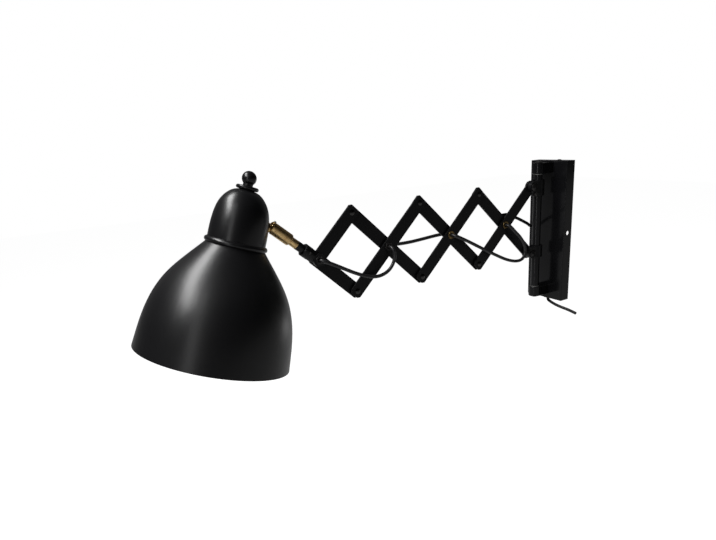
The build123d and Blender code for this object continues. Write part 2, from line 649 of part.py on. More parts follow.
def swivel_screw():
    """Small set screw that bears on the ball from the upper side of the socket."""
    outward = Vector(0, sin(radians(HEAD_ANGLE)), cos(radians(HEAD_ANGLE)))
    along = SWIVEL_SCREW_PLACE - BALL_PLACE - SWIVEL_SCREW_DIAMETER / 2
    tip = (BALL_DIAMETER ** 2 / 4 - along ** 2) ** 0.5 + BALL_CLEARANCE
    return rod_along(outward, on_head_line(0, SWIVEL_SCREW_PLACE), SWIVEL_SCREW_DIAMETER / 2,
                     tip, SWIVEL_DIAMETER / 2 + SWIVEL_SCREW_PROUD)


def ball_stud():
    """Bored stud: ball in the swivel, flange against the cap and thread through its wall."""
    seat = STUD_REACH - CAP_RADIUS_AT_STUD
    stud = Pos(*BALL_CENTRE) * Sphere(BALL_DIAMETER / 2)
    stud += rod_along(STUD_DIRECTION, BALL_CENTRE, STUD_DIAMETER / 2, 0, seat + STUD_INSIDE)
    stud += rod_along(STUD_DIRECTION, BALL_CENTRE, STUD_FLANGE_DIAMETER / 2,
                      seat - STUD_FLANGE_THICKNESS, seat)
    bore = FLEX_DIAMETER / 2 + FLEX_CLEARANCE / 2
    stud -= rod_along(STUD_DIRECTION, BALL_CENTRE, bore, 0, STUD_REACH)
    mouth = Plane(origin=tuple(BALL_CENTRE), z_dir=tuple(-HEAD_DIRECTION))
    return stud - mouth * Cone(bore, BALL_DIAMETER / 2 - 1, BALL_DIAMETER / 2, align=FROM_START)


def stud_nut():
    """Hexagonal nut on the stud inside the cap."""
    seat = STUD_REACH - CAP_RADIUS_AT_STUD + CAP_CURVE_AT_NUT
    place = Plane(origin=tuple(BALL_CENTRE), x_dir=(1, 0, 0), z_dir=tuple(STUD_DIRECTION))
    nut = extrude(place * Pos(0, 0, seat) * RegularPolygon(NUT_DIAMETER / 2, 6), amount=NUT_THICKNESS)
    return nut - rod_along(STUD_DIRECTION, BALL_CENTRE, STUD_DIAMETER / 2, 0, STUD_REACH)


def about_rim(height=0):
    """The shade's axis as a plane, at a height above the rim's centre."""
    origin = RIM_CENTRE + SHADE_AXIS * height
    return Plane(origin=tuple(origin), x_dir=(1, 0, 0), z_dir=tuple(SHADE_AXIS))


def inset(points, wall):
    """The same outline moved inwards by the wall's thickness."""
    moved = []
    for index, (radius, height) in enumerate(points):
        before = points[max(index - 1, 0)]
        after = points[min(index + 1, len(points) - 1)]
        slope = atan2(after[1] - before[1], after[0] - before[0])
        level = index in (0, len(points) - 1)
        drop = 0 if level else wall * cos(slope)
        shift = wall / sin(slope) if level else wall * sin(slope)
        moved.append((radius - shift, height + drop))
    return moved


def spun_shell(points, place):
    """Spun sheet of even thickness along a smooth outline of (radius, height) points."""
    inner = inset(points, SHADE_WALL)
    outline = Spline(*points) + Line(points[-1], inner[-1]) + Spline(*reversed(inner))
    face = Plane.XZ * make_face(outline + Line(inner[0], points[0]))
    return place * revolve(face, Axis.Z)


def cap():
    """Upper dome: a plain skirt, a rounded crown and a hole in its side for the stud."""
    neck = about_rim(NECK_HEIGHT)
    bottom = -RING_FLAT
    outer = [(CAP_RADIUS, CAP_SKIRT), *CAP_PROFILE]
    inner = [(CAP_RADIUS - SHADE_WALL, CAP_SKIRT), *inset(CAP_PROFILE, SHADE_WALL)]
    edges = Line((CAP_RADIUS, bottom), outer[0]) + Spline(*outer, tangents=[(0, 1), (-1, 0.25)])
    edges += Polyline(outer[-1], (CAP_TOP_RADIUS, CAP_TOP), (0, CAP_TOP), (0, CAP_TOP - SHADE_WALL - 1))
    edges += Line((0, CAP_TOP - SHADE_WALL - 1), inner[-1])
    edges += Spline(*reversed(inner), tangents=[(1, -0.25), (0, -1)])
    edges += Polyline(inner[0], (CAP_RADIUS - SHADE_WALL, bottom), (CAP_RADIUS, bottom))
    dome = neck * revolve(Plane.XZ * make_face(edges), Axis.Z)
    dome -= rod_along(STUD_DIRECTION, BALL_CENTRE, STUD_DIAMETER / 2, 0, STUD_REACH)
    return dome - rod_along(SHADE_AXIS, NECK_CENTRE, NIPPLE_DIAMETER / 2, HOLDER_TOP, CAP_TOP + 1)


def neck_ring():
    """Bead between the cap and the shade, flat underneath where the shade meets it."""
    bead = RING_BEAD / 2
    place = about_rim(NECK_HEIGHT)
    section = Plane.XZ * (Pos(CAP_RADIUS - RING_SUNK, 0) * Circle(bead))
    ring = place * revolve(section, Axis.Z)
    ring -= place * Cylinder(CAP_RADIUS, 4 * bead)
    return ring - place * Pos(0, 0, -RING_FLAT) * Cylinder(2 * CAP_RADIUS, 2 * bead,
                                                           align=(Align.CENTER, Align.CENTER, Align.MAX))


def top_disc():
    """Round-edged disc on the cap."""
    half = DISC_THICKNESS / 2
    radius = DISC_DIAMETER / 2
    place = about_rim(NECK_HEIGHT + CAP_TOP + half)
    disc = fillet(Cylinder(radius, DISC_THICKNESS).edges(), half * 0.95)
    return place * (disc - Cylinder(NIPPLE_DIAMETER / 2, 2 * DISC_THICKNESS))


def finial():
    """Ball nut on the nipple, on a short neck."""
    place = about_rim(NECK_HEIGHT)
    start = CAP_TOP + DISC_THICKNESS
    neck = rod_along(SHADE_AXIS, NECK_CENTRE, FINIAL_NECK_DIAMETER / 2, start, FINIAL_HEIGHT)
    ball = neck + place * Pos(0, 0, FINIAL_HEIGHT) * Sphere(FINIAL_DIAMETER / 2)
    return ball - rod_along(SHADE_AXIS, NECK_CENTRE, NIPPLE_DIAMETER / 2, start - 1,
                            start + NIPPLE_INTO_FINIAL)


def holder_nipple():
    """Threaded tube from the lamp holder through the cap and the disc into the finial."""
    end = CAP_TOP + DISC_THICKNESS + NIPPLE_INTO_FINIAL
    tube = rod_along(SHADE_AXIS, NECK_CENTRE, NIPPLE_DIAMETER / 2, HOLDER_TOP - HOLDER_WALL, end)
    return tube - rod_along(SHADE_AXIS, NECK_CENTRE, NIPPLE_BORE / 2, 0, end - 1)


def holder_shell():
    """Outer sleeve of the lamp holder, closed at the top."""
    radius = HOLDER_DIAMETER / 2
    shell = rod_along(SHADE_AXIS, NECK_CENTRE, radius, HOLDER_TOP - HOLDER_LENGTH, HOLDER_TOP)
    shell = fillet(shell.edges().filter_by(GeomType.CIRCLE).sort_by(Axis.Z)[-1], 2)
    shell -= rod_along(SHADE_AXIS, NECK_CENTRE, radius - HOLDER_WALL, HOLDER_TOP - HOLDER_LENGTH - 1,
                       HOLDER_TOP - HOLDER_WALL - 1)
    shell -= rod_along(SHADE_AXIS, NECK_CENTRE, NIPPLE_DIAMETER / 2, 0, HOLDER_TOP + 1)
    entry = NECK_CENTRE - STUD_DIRECTION * HOLDER_ENTRY
    return shell - rod_along(SHADE_AXIS, entry, FLEX_DIAMETER / 2 + FLEX_CLEARANCE / 2, 0, HOLDER_TOP + 1)


def holder_core():
    """Porcelain insert with the lamp's thread bore."""
    radius = HOLDER_DIAMETER / 2 - HOLDER_WALL - HOLDER_CORE_GAP
    top = HOLDER_TOP - HOLDER_WALL - 1
    core = rod_along(SHADE_AXIS, NECK_CENTRE, radius, top - HOLDER_CORE_LENGTH, top)
    core -= rod_along(SHADE_AXIS, NECK_CENTRE, HOLDER_BORE / 2, top - HOLDER_CORE_LENGTH - 1,
                      top - HOLDER_CORE_TOP)
    return core


# ---------------------------------------------------------------- flex and lead

FLEX_X = 11           # how far the front loops stand in front of the bars' middle
BACK_X = -9.5         # how far the rear stretches lie behind it


def flex_first():
    """Front loop from the head's eyelet to the first crossing."""
    (y0, z0), (y1, z1) = pivot(0), pivot(1)
    return [(0, y0, z0), (13, y0, z0), (13, y0 + 10.5, z0 - 4.5), (12, y0 + 26, z0 - 13),
            (FLEX_X, y0 + 45, z0 - 23.5), (FLEX_X, y0 + 63, z0 - 31), (FLEX_X, y0 + 78, z0 - 33.5),
            (FLEX_X, y0 + 92, z0 - 29.5), (FLEX_X, y1 - 0.5, z1 - 21), (FLEX_X, y1 + 3, z1 - 10.5),
            (FLEX_X, y1, z1), (0, y1, z1)]


def flex_second():
    """Straight stretch behind the bars from the first crossing to the second."""
    (y0, z0), (y1, z1) = pivot(1), pivot(2)
    return [(0, y0, z0), (BACK_X, y0, z0), (BACK_X, y0 + 12.5, z0 - 1.5), (BACK_X, y0 + 38, z0 - 2.5),
            (BACK_X, y1 - 36, z1 - 1), (BACK_X, y1 - 12.5, z1 + 0.5), (BACK_X, y1, z1), (0, y1, z1)]


def flex_third():
    """Front loop from the second crossing, well past the third and back to it."""
    (y0, z0), (y1, z1) = pivot(2), pivot(3)
    return [(0, y0, z0), (FLEX_X, y0, z0), (FLEX_X, y0 + 10.5, z0 - 5), (FLEX_X, y0 + 27.5, z0 - 13.7),
            (FLEX_X, y0 + 50, z0 - 26), (FLEX_X, y0 + 74, z0 - 38.5), (FLEX_X, y0 + 95, z0 - 49),
            (FLEX_X, y1 + 14, z1 - 55), (FLEX_X, y1 + 28, z1 - 54), (FLEX_X, y1 + 34, z1 - 43.5),
            (FLEX_X, y1 + 30.5, z1 - 31), (FLEX_X, y1 + 21.5, z1 - 19.5), (FLEX_X, y1 + 10.5, z1 - 10),
            (FLEX_X, y1, z1), (0, y1, z1)]


def arch_near():
    """The arch's points that follow the arm, behind the upper bar."""
    y0, z0 = pivot(3)
    return [(0, y0, z0), (BACK_X - 1, y0, z0), (BACK_X - 1.5, y0 + 10, z0 + 5),
            (BACK_X - 2, y0 + 23, z0 + 7.3), (BACK_X - 3.5, y0 + 36, z0 + 4.8)]


def arch_far():
    """The arch's points that follow the rod and the box, past the collar's side to the bush."""
    y0, z0 = pivot(3)
    return [(BACK_X - 7.5, y0 + 57.5, z0 - 4.8), (BACK_X - 11, y0 + 70, z0 - 10),
            (BUSH_X, -BOX_DEPTH - 11, BUSH_Z), (BUSH_X, LEAD_Y + 0.5, BUSH_Z)]


def flex_joint():
    """Where the stretch that follows the arm meets the one that follows the box."""
    return tuple((a + b) / 2 for a, b in zip(arch_near()[-1], arch_far()[0]))


def flex_fourth():
    """Short arch behind the upper bar, from the third crossing to the collar's side."""
    return [*arch_near(), flex_joint()]


def flex_last():
    """From beside the collar past the rod, through the bush and down to the terminals."""
    return [flex_joint(), *arch_far(), (BUSH_X + 0.5, LEAD_Y, BUSH_Z - 14),
            (-19.5, LEAD_Y, TERMINAL_Z + 62), (-12, LEAD_Y, TERMINAL_Z + 42), (-2, LEAD_Y, TERMINAL_Z + 27),
            (0, LEAD_Y, TERMINAL_Z + 15), (0, LEAD_Y, TERMINAL_Z + TERMINAL_WEB)]


def supply_lead():
    """Short lead from the terminals, out under the box and off to one side."""
    under = -BOX_HEIGHT / 2
    return [(0, LEAD_Y, TERMINAL_Z - TERMINAL_WEB), (0, LEAD_Y, under - 5.2), (6.5, LEAD_Y, under - 8.2),
            (17, LEAD_Y - 0.4, under - 10.8), (30, LEAD_Y, under - 12.8), (43.5, LEAD_Y + 0.4, under - 14),
            (56.5, LEAD_Y, under - 16.2)]


# ---------------------------------------------------------------- all nodes

def build():
    """Fill PARTS with every node."""
    keep("wall_box", wall_box())
    keep("wall_strap", wall_strap())
    keep("box_screws", box_screws())
    keep("rod_lug_top", rod_lug(1))
    keep("rod_lug_bottom", rod_lug(-1))
    keep("rod", rod())
    keep("rod_rings", rod_rings())
    keep("frame_screws", frame_screws())
    keep("stop_ring", stop_ring())
    keep("stop_ring_screw", stop_ring_screw())
    keep("cord_bushes", [cord_bush((0, -1, 0), (BUSH_X, -BOX_DEPTH, BUSH_Z)),
                         cord_bush((0, 0, -1), (0, LEAD_Y, -BOX_HEIGHT / 2))])
    keep("terminal_block", terminal_block())

    keep("swing_collar", rod_collar(1))
    keep("slide_collar", rod_collar(-1))
    keep("top_pivot_screw", pivot_screw(1))
    keep("slide_pivot_screw", pivot_screw(-1))
    for bay in range(1, BAYS):
        keep(f"front_bar_{bay}", full_bar(bay, 1))
        keep(f"rear_bar_{bay}", full_bar(bay, -1))
        upper = [pivot(bay + 1, 1)] if bay + 1 < BAYS else []
        ends = [pivot(bay, -1), *upper]
        keep(f"rivets_{bay}", [rivet(point) for point in ends])
        spacers = [washer(point, RIVET_DIAMETER) for point in ends]
        keep(f"washers_{bay}", [washer(pivot(bay), EYELET_DIAMETER), *spacers])
        back = -STACK - FACE_GAP - (CLIP_THICKNESS if bay == BAYS - 1 else 0)
        keep(f"eyelet_{bay}", eyelet(pivot(bay), STACK, back))
    keep("front_half_bar", half_bar(1))
    keep("rear_half_bar", half_bar(-1))
    keep("rivet_0", rivet(pivot(1, 1)))
    keep("washers_0", [washer(pivot(0), EYELET_DIAMETER), washer(pivot(1, 1), RIVET_DIAMETER)])
    keep("cord_clip", cord_clip())
    keep("cord_clip_screw", cord_clip_screw())

    keep("head_eyelet", eyelet(pivot(0), FORK_DIAMETER / 2, -FORK_DIAMETER / 2))
    keep("head_fork", head_fork())
    keep("fork_screw", fork_screw())
    keep("stem_tube", stem_tube())
    keep("swivel_body", swivel_body())
    keep("swivel_screw", swivel_screw())
    keep("ball_stud", ball_stud())
    keep("stud_nut", stud_nut())
    keep("shade", spun_shell(SHADE_PROFILE, about_rim()))
    keep("cap", cap())
    keep("neck_ring", neck_ring())
    keep("top_disc", top_disc())
    keep("finial", finial())
    keep("holder_nipple", holder_nipple())
    keep("holder_shell", holder_shell())
    keep("holder_core", holder_core())

    routes = {"flex_1": flex_first(), "flex_2": flex_second(), "flex_3": flex_third(),
              "flex_4": flex_fourth(), "flex_5": flex_last(), "flex_head": head_flex_route(),
              "supply_lead": supply_lead()}
    for name, route in routes.items():
        keep(name, dressed_tube(route, FLEX_DIAMETER))


build()
for node, shape in PARTS.items():
    export_step(shape, f"parts/{node}.step")
print(len(PARTS), "nodes")
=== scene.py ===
"""Accordion wall lamp: finishes, flex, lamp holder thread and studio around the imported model.

Lengths are in metres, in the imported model's frame: the wall is the XZ plane, +Z is up and the
arm reaches along -Y.
"""
import math

import bmesh
import bpy
from mathutils import Matrix, Vector


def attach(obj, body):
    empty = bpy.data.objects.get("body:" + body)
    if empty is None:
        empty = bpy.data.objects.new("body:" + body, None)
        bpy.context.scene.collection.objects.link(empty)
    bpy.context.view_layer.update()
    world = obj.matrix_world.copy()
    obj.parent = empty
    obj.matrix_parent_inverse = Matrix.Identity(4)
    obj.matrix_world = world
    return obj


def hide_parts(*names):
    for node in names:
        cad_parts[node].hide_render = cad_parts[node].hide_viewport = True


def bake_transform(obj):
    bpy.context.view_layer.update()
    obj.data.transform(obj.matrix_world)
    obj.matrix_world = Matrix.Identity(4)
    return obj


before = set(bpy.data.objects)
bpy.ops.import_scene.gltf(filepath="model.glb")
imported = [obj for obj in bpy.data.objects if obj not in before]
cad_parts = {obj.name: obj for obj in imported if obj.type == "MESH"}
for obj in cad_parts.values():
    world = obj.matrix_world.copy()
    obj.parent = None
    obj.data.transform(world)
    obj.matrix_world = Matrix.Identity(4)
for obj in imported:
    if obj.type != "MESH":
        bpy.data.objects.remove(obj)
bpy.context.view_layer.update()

MM = 0.001

# The photograph's frame and the camera that took it
PHOTO_WIDTH, PHOTO_HEIGHT = 716, 540
CAMERA_PLACE = (0.59381, -0.69072, 0.16149)
CAMERA_AZIMUTH = 1.01848
CAMERA_ELEVATION = 0.33342
CAMERA_ROLL = -0.061468
FOCAL_PIXELS = 563.525
CENTRE_PIXEL = (380.79, 325.4)
SENSOR_MM = 36

# Arm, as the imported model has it
BOX_HEIGHT = 0.209
BOX_DEPTH = 0.017
HALF_BAR = BOX_HEIGHT / 2.986
OPEN_ANGLE = math.radians(44)
REACH = HALF_BAR * math.cos(OPEN_ANGLE)
PIVOT_Y = -0.055
ARM_HEIGHT = BOX_HEIGHT / 9.457
BAYS = 4
HEAD_ANGLE = math.radians(41)
SHADE_TILT = math.radians(20)
HEAD_DIRECTION = Vector((0, -math.cos(HEAD_ANGLE), math.sin(HEAD_ANGLE)))
SHADE_AXIS = Vector((0, math.sin(SHADE_TILT), math.cos(SHADE_TILT)))
STUD_DIRECTION = Vector((0, -math.cos(SHADE_TILT), math.sin(SHADE_TILT)))

FLEX_DIAMETER = 0.0045
FLEX_X = 0.011
BACK_X = -0.0095
FLEX_LOOP = 0.014
FLEX_OUTLET = 0.0162
BUSH_X, BUSH_Z = -0.0225, 0.007
BUSH_FACE_Y = -0.0186   # the bush stands a little proud of the box
LEAD_Y = -0.0085
TERMINAL_Z = 0.0145 - BOX_HEIGHT / 2
BALL_PLACE = 0.064
BALL_DIAMETER = 0.0118
STUD_REACH = 0.0393
STUD_HEIGHT = 0.0244


def crossing(bay):
    """A crossing of the arm, numbered from the head's pivot, 0."""
    return Vector((0, PIVOT_Y - REACH - 2 * REACH * (BAYS - 1 - bay), ARM_HEIGHT))


BALL_CENTRE = crossing(0) + HEAD_DIRECTION * BALL_PLACE
NECK_CENTRE = BALL_CENTRE + STUD_DIRECTION * STUD_REACH - SHADE_AXIS * STUD_HEIGHT


# ---------------------------------------------------------------- shader maths

class Socket:
    """One output of a shader node; arithmetic on it adds the nodes that work it out."""

    def __init__(self, net, out):
        self.net, self.out = net, out

    def math(self, operation, first, second):
        return self.net.add("ShaderNodeMath", {"operation": operation}, {0: first, 1: second})

    def __add__(self, other):
        return self.math("ADD", self, other)

    def __radd__(self, other):
        return self.math("ADD", other, self)

    def __sub__(self, other):
        return self.math("SUBTRACT", self, other)

    def __rsub__(self, other):
        return self.math("SUBTRACT", other, self)

    def __mul__(self, other):
        return self.math("MULTIPLY", self, other)

    def __rmul__(self, other):
        return self.math("MULTIPLY", other, self)

    def __gt__(self, other):
        return self.math("GREATER_THAN", self, other)

    def sine(self):
        return self.math("SINE", self, 0)

    def steps(self, low, high):
        """0 below low, 1 above high and smooth between them."""
        return self.net.add("ShaderNodeMapRange", {"interpolation_type": "SMOOTHSTEP"},
                            {"Value": self, "From Min": low, "From Max": high})


class Net:
    """The node tree of one material, or of the world."""

    def __init__(self, tree):
        self.tree = tree
        tree.nodes.clear()

    def add(self, kind, settings=(), inputs=(), output=0):
        """Add a node, set it up, feed its inputs and give back one of its outputs."""
        node = self.tree.nodes.new(kind)
        for key, value in dict(settings).items():
            setattr(node, key, value)
        for key, value in dict(inputs).items():
            if isinstance(value, Socket):
                self.tree.links.new(value.out, node.inputs[key])
            else:
                node.inputs[key].default_value = value
        return Socket(self, node.outputs[output]) if node.outputs else None

    def place(self):
        """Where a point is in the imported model's frame, carried along with its piece."""
        return self.add("ShaderNodeTexCoord", output="Object")

    def noise(self, scale, detail=3.0, roughness=0.55, place=None):
        return self.add("ShaderNodeTexNoise", {}, {"Vector": place or self.place(), "Scale": scale,
                                                   "Detail": detail, "Roughness": roughness})

    def along(self, direction, place=None):
        """How far along a direction a point lies."""
        return self.add("ShaderNodeVectorMath", {"operation": "DOT_PRODUCT"},
                        {0: place or self.place(), 1: tuple(direction)}, "Value")

    def stretched(self, scale):
        return self.add("ShaderNodeVectorMath", {"operation": "MULTIPLY"}, {0: self.place(), 1: scale})

    def mix(self, factor, first, second):
        """Colour between two colours."""
        return self.add("ShaderNodeMix", {"data_type": "RGBA"},
                        {"Factor": factor, 6: self.colour(first), 7: self.colour(second)}, 2)

    @staticmethod
    def colour(value):
        return value if isinstance(value, Socket) else (*value, 1)

    def bump(self, height, distance, strength=1.0):
        return self.add("ShaderNodeBump", {}, {"Height": height, "Distance": distance,
                                               "Strength": strength})

    def surface(self, **inputs):
        """Principled shader to the output; keys are its inputs with _ for a space."""
        named = {key.replace("_", " "): value for key, value in inputs.items()}
        shader = self.add("ShaderNodeBsdfPrincipled", {}, named)
        self.add("ShaderNodeOutputMaterial", {}, {"Surface": shader})


def new_material(name):
    material = bpy.data.materials.new(name)
    material.use_nodes = True
    return material, Net(material.node_tree)


# ---------------------------------------------------------------- finishes

BLACK = (0.0030, 0.0030, 0.0034)
BLACK_LIFTED = (0.0052, 0.0051, 0.0055)


def satin_black(name, roughness, grain=0.00002, specular=0.30):
    """Sprayed black enamel: a fine orange peel, and patches a little more or less glossy."""
    material, net = new_material(name)
    patches = net.noise(18, 4)
    peel = net.noise(1300, 2)
    dust = net.noise(420, 5, 0.75).steps(0.66, 0.82)
    net.surface(Base_Color=net.mix(dust * 0.5 + patches * 0.3, BLACK, BLACK_LIFTED),
                Roughness=roughness + (patches - 0.5) * 0.10 + dust * 0.05,
                Specular_IOR_Level=specular, Normal=net.bump(peel, grain, 0.5))
    return material


def shade_paint():
    """Satin black outside and warm white inside, told apart by which way the sheet faces."""
    material, net = new_material("shade_paint")
    facing = net.add("ShaderNodeTexCoord", output="Normal")
    outward = net.add("ShaderNodeVectorMath", {"operation": "SUBTRACT"},
                      {0: net.place(), 1: tuple(NECK_CENTRE)})
    lift = net.add("ShaderNodeVectorMath", {"operation": "DOT_PRODUCT"},
                   {0: outward, 1: tuple(SHADE_AXIS)}, "Value")
    onto_axis = net.add("ShaderNodeVectorMath", {"operation": "SCALE"},
                        {0: tuple(SHADE_AXIS), "Scale": lift})
    radial = net.add("ShaderNodeVectorMath", {"operation": "SUBTRACT"}, {0: outward, 1: onto_axis})
    inside = 1 - (net.add("ShaderNodeVectorMath", {"operation": "DOT_PRODUCT"},
                          {0: radial, 1: facing}, "Value") > 0)
    patches = net.noise(14, 4)
    peel = net.noise(1300, 2)
    spun = (net.along(SHADE_AXIS) * 2600).sine()
    white = net.mix(patches, (0.80, 0.79, 0.75), (0.86, 0.85, 0.82))
    black = net.mix(patches * 0.5, BLACK, BLACK_LIFTED)
    net.surface(Base_Color=net.mix(inside, black, white),
                Roughness=0.34 + (patches - 0.5) * 0.08 + inside * 0.16,
                Specular_IOR_Level=0.26, Normal=net.bump(peel + spun * 0.06, 0.00002, 0.5))
    return material


def turned_brass():
    """Lathe-turned brass, lacquered and gone warm brown, with fine rings round its axis."""
    material, net = new_material("turned_brass")
    rings = (net.along(HEAD_DIRECTION) * 9000).sine()
    bands = net.noise(1, 3, 0.6, net.stretched((240, 900, 900)))
    cloud = net.noise(90, 5, 0.6)
    tarnish = (cloud * 0.75 + bands * 0.45).steps(0.42, 0.95)
    net.surface(Base_Color=net.mix(tarnish, (0.68, 0.49, 0.23), (0.29, 0.155, 0.055)),
                Metallic=1.0, Roughness=0.27 + bands * 0.10 + tarnish * 0.10,
                Normal=net.bump(rings + bands, 0.000012, 0.6))
    return material


def plated_steel(name, colour, roughness, worn=(0.30, 0.28, 0.25)):
    """Small plated steel parts, brushed and a little dulled."""
    material, net = new_material(name)
    cloud = net.noise(260, 4)
    hair = net.noise(1, 3, 0.6, net.stretched((3200, 380, 3200)))
    net.surface(Base_Color=net.mix(cloud.steps(0.45, 0.75) * 0.55, colour, worn),
                Metallic=1.0, Roughness=roughness + hair * 0.12, Normal=net.bump(hair, 0.000008, 0.6))
    return material


def blackened_steel():
    """Chemically blackened steel: nearly black, with a metal's sheen on its worn patches."""
    material, net = new_material("blackened_steel")
    cloud = net.noise(340, 4)
    worn = cloud.steps(0.52, 0.72)
    net.surface(Base_Color=net.mix(worn, (0.020, 0.019, 0.019), (0.11, 0.105, 0.10)),
                Metallic=0.8, Roughness=0.40 - worn * 0.10, Normal=net.bump(cloud, 0.00001, 0.4))
    return material


def brown_eyelet():
    """Brass eyelet with a dark brown lacquer that is worn through on its rim."""
    material, net = new_material("brown_eyelet")
    cloud = net.noise(420, 4)
    net.surface(Base_Color=net.mix(cloud.steps(0.40, 0.68), (0.085, 0.055, 0.022), (0.34, 0.24, 0.10)),
                Metallic=0.9, Roughness=0.36 + cloud * 0.08, Normal=net.bump(cloud, 0.00001, 0.5))
    return material


def flex_sheath():
    """Black flexible sheath: smooth, with a faint drawn grain and dull patches from handling."""
    material, net = new_material("flex_sheath")
    grain = net.noise(1500, 3)
    dull = net.noise(120, 3)
    net.surface(Base_Color=net.mix(dull, (0.007, 0.007, 0.0075), (0.015, 0.0145, 0.015)),
                Roughness=0.30 + dull * 0.10, Specular_IOR_Level=0.30,
                Normal=net.bump(grain, 0.000025, 0.5))
    return material


def moulded_plastic(name, colour, shadow, roughness):
    """Moulded plastic or glazed insert with a slight mottle and texture."""
    material, net = new_material(name)
    mottle = net.noise(160, 4)
    texture = net.noise(1600, 2)
    net.surface(Base_Color=net.mix(mottle * 0.5, colour, shadow), Roughness=roughness + mottle * 0.08,
                Normal=net.bump(texture, 0.00002, 0.5))
    return material


def finish_nodes():
    """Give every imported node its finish."""
    box_paint = satin_black("box_enamel", 0.17, 0.000006, 0.20)
    bar_paint = satin_black("bar_enamel", 0.42, 0.000025, 0.16)
    cast_paint = satin_black("collar_enamel", 0.36, specular=0.20)
    dome_paint = satin_black("dome_enamel", 0.30, specular=0.26)
    steel = plated_steel("plated_steel", (0.60, 0.60, 0.58), 0.26)
    dull_steel = plated_steel("dull_steel", (0.17, 0.17, 0.165), 0.36, (0.10, 0.10, 0.095))
    rivet_steel = plated_steel("rivet_steel", (0.045, 0.044, 0.043), 0.20, (0.02, 0.02, 0.02))
    blackened = blackened_steel()
    brass = turned_brass()
    black_plastic = moulded_plastic("black_moulding", (0.016, 0.016, 0.016), (0.03, 0.03, 0.03), 0.42)
    white_plastic = moulded_plastic("white_moulding", (0.80, 0.80, 0.76), (0.66, 0.65, 0.60), 0.42)
    glazed = moulded_plastic("glazed_insert", (0.84, 0.83, 0.79), (0.74, 0.72, 0.67), 0.22)
    finishes = {
        box_paint: ["wall_box", "rod_lug_top", "rod_lug_bottom", "rod"],
        bar_paint: ["front_half_bar", "rear_half_bar", "cord_clip",
                    *[f"{side}_bar_{bay}" for side in ("front", "rear") for bay in range(1, BAYS)]],
        cast_paint: ["swing_collar", "slide_collar", "stop_ring", "head_fork", "stem_tube"],
        dome_paint: ["cap", "neck_ring", "top_disc", "finial"],
        shade_paint(): ["shade"],
        steel: ["wall_strap", "cord_clip_screw", "swivel_screw", "stud_nut", "holder_nipple"],
        dull_steel: ["rod_rings"],
        rivet_steel: ["rivet_0", *[f"rivets_{bay}" for bay in range(1, BAYS)]],
        blackened: ["box_screws", "frame_screws", "stop_ring_screw", "top_pivot_screw",
                    "slide_pivot_screw", "fork_screw", "eyelet_1", "head_eyelet",
                    *[f"washers_{bay}" for bay in range(BAYS)]],
        brown_eyelet(): ["eyelet_2", "eyelet_3"],
        brass: ["swivel_body", "ball_stud"],
        black_plastic: ["cord_bushes", "holder_shell"],
        white_plastic: ["terminal_block"],
        glazed: ["holder_core"],
    }
    for material, names in finishes.items():
        for name in names:
            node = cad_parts[name]
            for index in range(max(1, len(node.data.materials))):
                if index < len(node.material_slots):
                    node.material_slots[index].material = material
                else:
                    node.data.materials.append(material)


# ---------------------------------------------------------------- flex and lead

def flex_curve(name, points, bevel):
    """A smooth curve of one NURBS spline with the route's points as its control points."""
    curve = bpy.data.curves.new(name, "CURVE")
    curve.dimensions = "3D"
    curve.resolution_u = 12
    curve.bevel_resolution = 6
    curve.use_fill_caps = True
    curve.bevel_depth = bevel
    spline = curve.splines.new("NURBS")
    spline.points.add(len(points) - 1)
    for point, place in zip(spline.points, points):
        point.co = (*place, 1)
    spline.order_u = 3
    spline.use_endpoint_u = True
    piece = bpy.data.objects.new(name, curve)
    bpy.context.scene.collection.objects.link(piece)
    return piece


def flex_stretch(name, points, material):
    """A stretch of flex as a mesh tube, made from a curve with a round bevel."""
    source = flex_curve(name + "_source", points, FLEX_DIAMETER / 2)
    bpy.context.view_layer.update()
    drawn = source.evaluated_get(bpy.context.evaluated_depsgraph_get())
    mesh = bpy.data.meshes.new_from_object(drawn)
    bpy.data.objects.remove(source)
    mesh.name = name
    mesh.materials.clear()
    mesh.materials.append(material)
    mesh.polygons.foreach_set("use_smooth", [True] * len(mesh.polygons))
    tube = bpy.data.objects.new(name, mesh)
    bpy.context.scene.collection.objects.link(tube)
    return tube


def from_crossings(first, last, offsets):
    """Places given as (x, y, z, which end), y and z in millimetres from a stretch's two crossings."""
    ends = (crossing(first), crossing(last))
    return [Vector((x, ends[end].y + y * MM, ends[end].z + z * MM)) for x, y, z, end in offsets]


